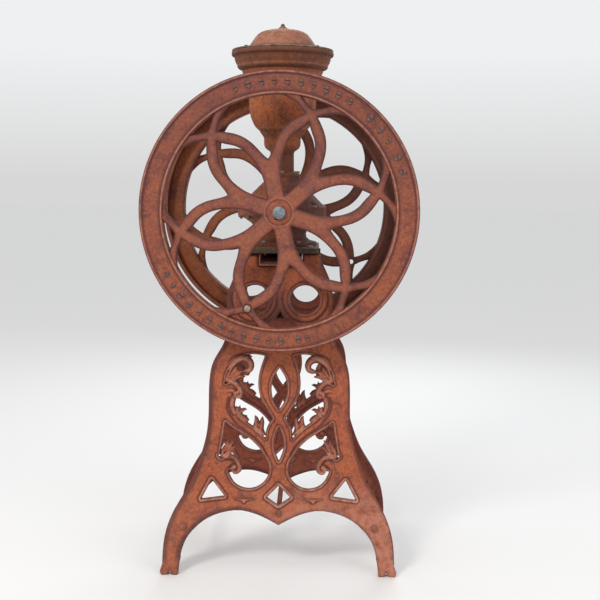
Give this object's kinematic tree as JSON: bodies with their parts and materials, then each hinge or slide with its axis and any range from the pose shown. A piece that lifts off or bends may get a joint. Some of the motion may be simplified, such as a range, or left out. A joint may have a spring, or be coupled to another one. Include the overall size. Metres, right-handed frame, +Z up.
{
  "type": "coffee mill",
  "caption": "Floor-standing cast-iron coffee mill: two openwork flywheels on one axle, urn hopper with hinged domed lid, splayed openwork side frames.",
  "frame": {"origin": "on the floor, midway between the four feet", "axes": "+X to the right along the wheels, +Y along the axle from the front wheel to the rear wheel, +Z up"},
  "size_m": [0.72, 0.528, 1.48],
  "materials": {
    "frame_iron": "rust-red weathered casting",
    "wheel_iron": "rust-red weathered casting",
    "casing_iron": "rust-red weathered casting",
    "hopper_iron": "rust-brown weathered casting",
    "table_iron": "dusty olive-brown casting",
    "fastener_steel": "dull worn steel",
    "axle_steel": "worn bluish-grey turned steel",
    "bush_brass": "dull brass",
    "burr_iron": "ground dark iron",
    "sheet_iron": "rusted sheet iron"
  },
  "bodies": {
    "stand": {"front_frame": "frame_iron", "rear_frame": "frame_iron", "tie_rods": "fastener_steel", "tie_rod_nuts": "fastener_steel", "table_plate": "table_iron", "frame_bolts": "fastener_steel", "frame_nuts": "fastener_steel", "chute": "sheet_iron", "lower_casing": "casing_iron", "foot_bolts": "fastener_steel", "foot_nuts": "fastener_steel", "upper_casing": "casing_iron", "casing_bolts": "fastener_steel", "casing_nuts": "fastener_steel", "front_bush": "bush_brass", "rear_bush": "bush_brass", "fixed_burr": "burr_iron", "burr_carrier": "burr_iron", "hopper": "hopper_iron", "neck_screws": "fastener_steel", "cover_ring": "table_iron", "cover_screws": "fastener_steel", "lid_hinge_pin": "fastener_steel"},
    "rotor": {"shaft": "axle_steel", "front_wheel": "wheel_iron", "rear_wheel": "wheel_iron", "front_key": "axle_steel", "rear_key": "axle_steel", "front_collar": "axle_steel", "rear_collar": "axle_steel", "crank_stud": "fastener_steel", "grinding_burr": "burr_iron", "feed_auger": "burr_iron"},
    "lid": {"lid": "hopper_iron", "lid_finial": "hopper_iron"}
  },
  "joints": [
    {"name": "wheel_spin", "type": "hinge", "parent": "stand", "child": "rotor", "pos_m": [0, 0, 0.972], "axis": [0, 1, 0], "continuous": true},
    {"name": "lid_hinge", "type": "hinge", "parent": "stand", "child": "lid", "pos_m": [0.104, 0, 1.413], "axis": [0, 1, 0], "range_deg": [0, 110]}
  ]
}
